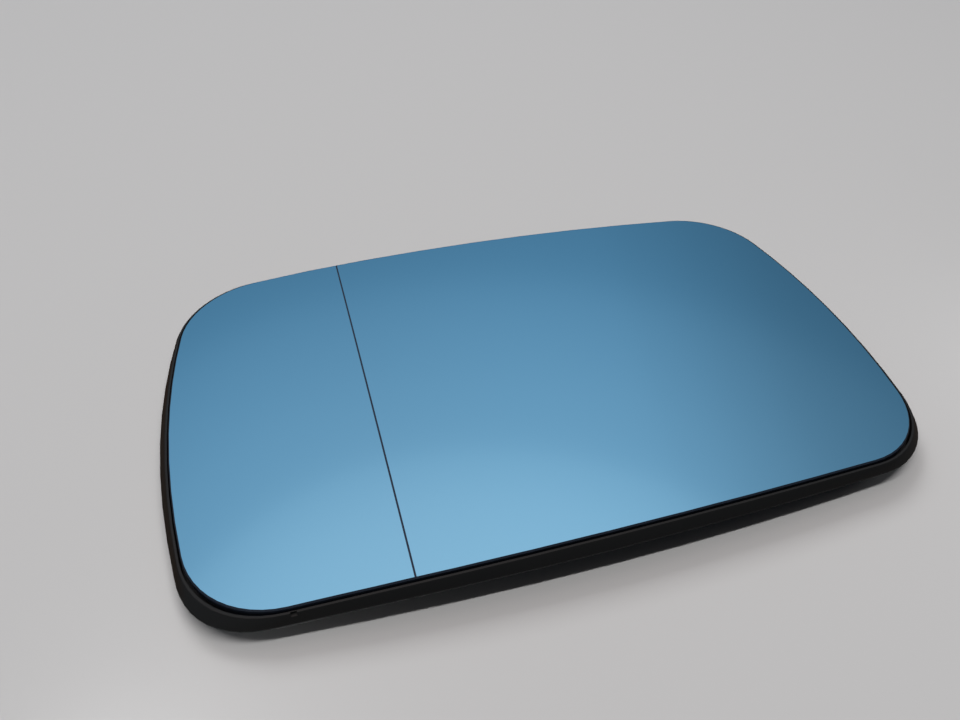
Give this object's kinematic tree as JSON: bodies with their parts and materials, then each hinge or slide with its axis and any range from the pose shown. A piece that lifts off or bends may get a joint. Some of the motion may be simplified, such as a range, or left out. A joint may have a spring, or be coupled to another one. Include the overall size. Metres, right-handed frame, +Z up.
{
  "type": "car door mirror glass",
  "caption": "Heated convex door mirror glass with a steeper outer zone, bonded to a moulded plastic backing plate with a locating collar and snap hooks.",
  "frame": {"origin": "axis of the locating collar, at the collar's lower face, on which the part rests face up", "axes": "+Z up, the way the mirror faces; +X along the length, towards the inner end of the glass; +Y towards the side of the glass that slopes down to the inner end"},
  "size_m": [0.1728, 0.1089, 0.01],
  "materials": {
    "mirror_glass": "blue-tinted mirror, polished face, ground edge",
    "heater_film": "thin amber polymer film with adhesive",
    "foam_pad": "black closed-cell foam",
    "backing_plate": "black moulded plastic, fine satin grain",
    "terminals": "tinned brass strip",
    "rivets": "plain brass"
  },
  "bodies": {
    "root": {"mirror_glass": "mirror_glass", "heater_film": "heater_film", "foam_pad": "foam_pad", "backing_plate": "backing_plate", "terminal_left": "terminals", "terminal_right": "terminals", "rivet_left": "rivets", "rivet_right": "rivets"}
  },
  "joints": []
}
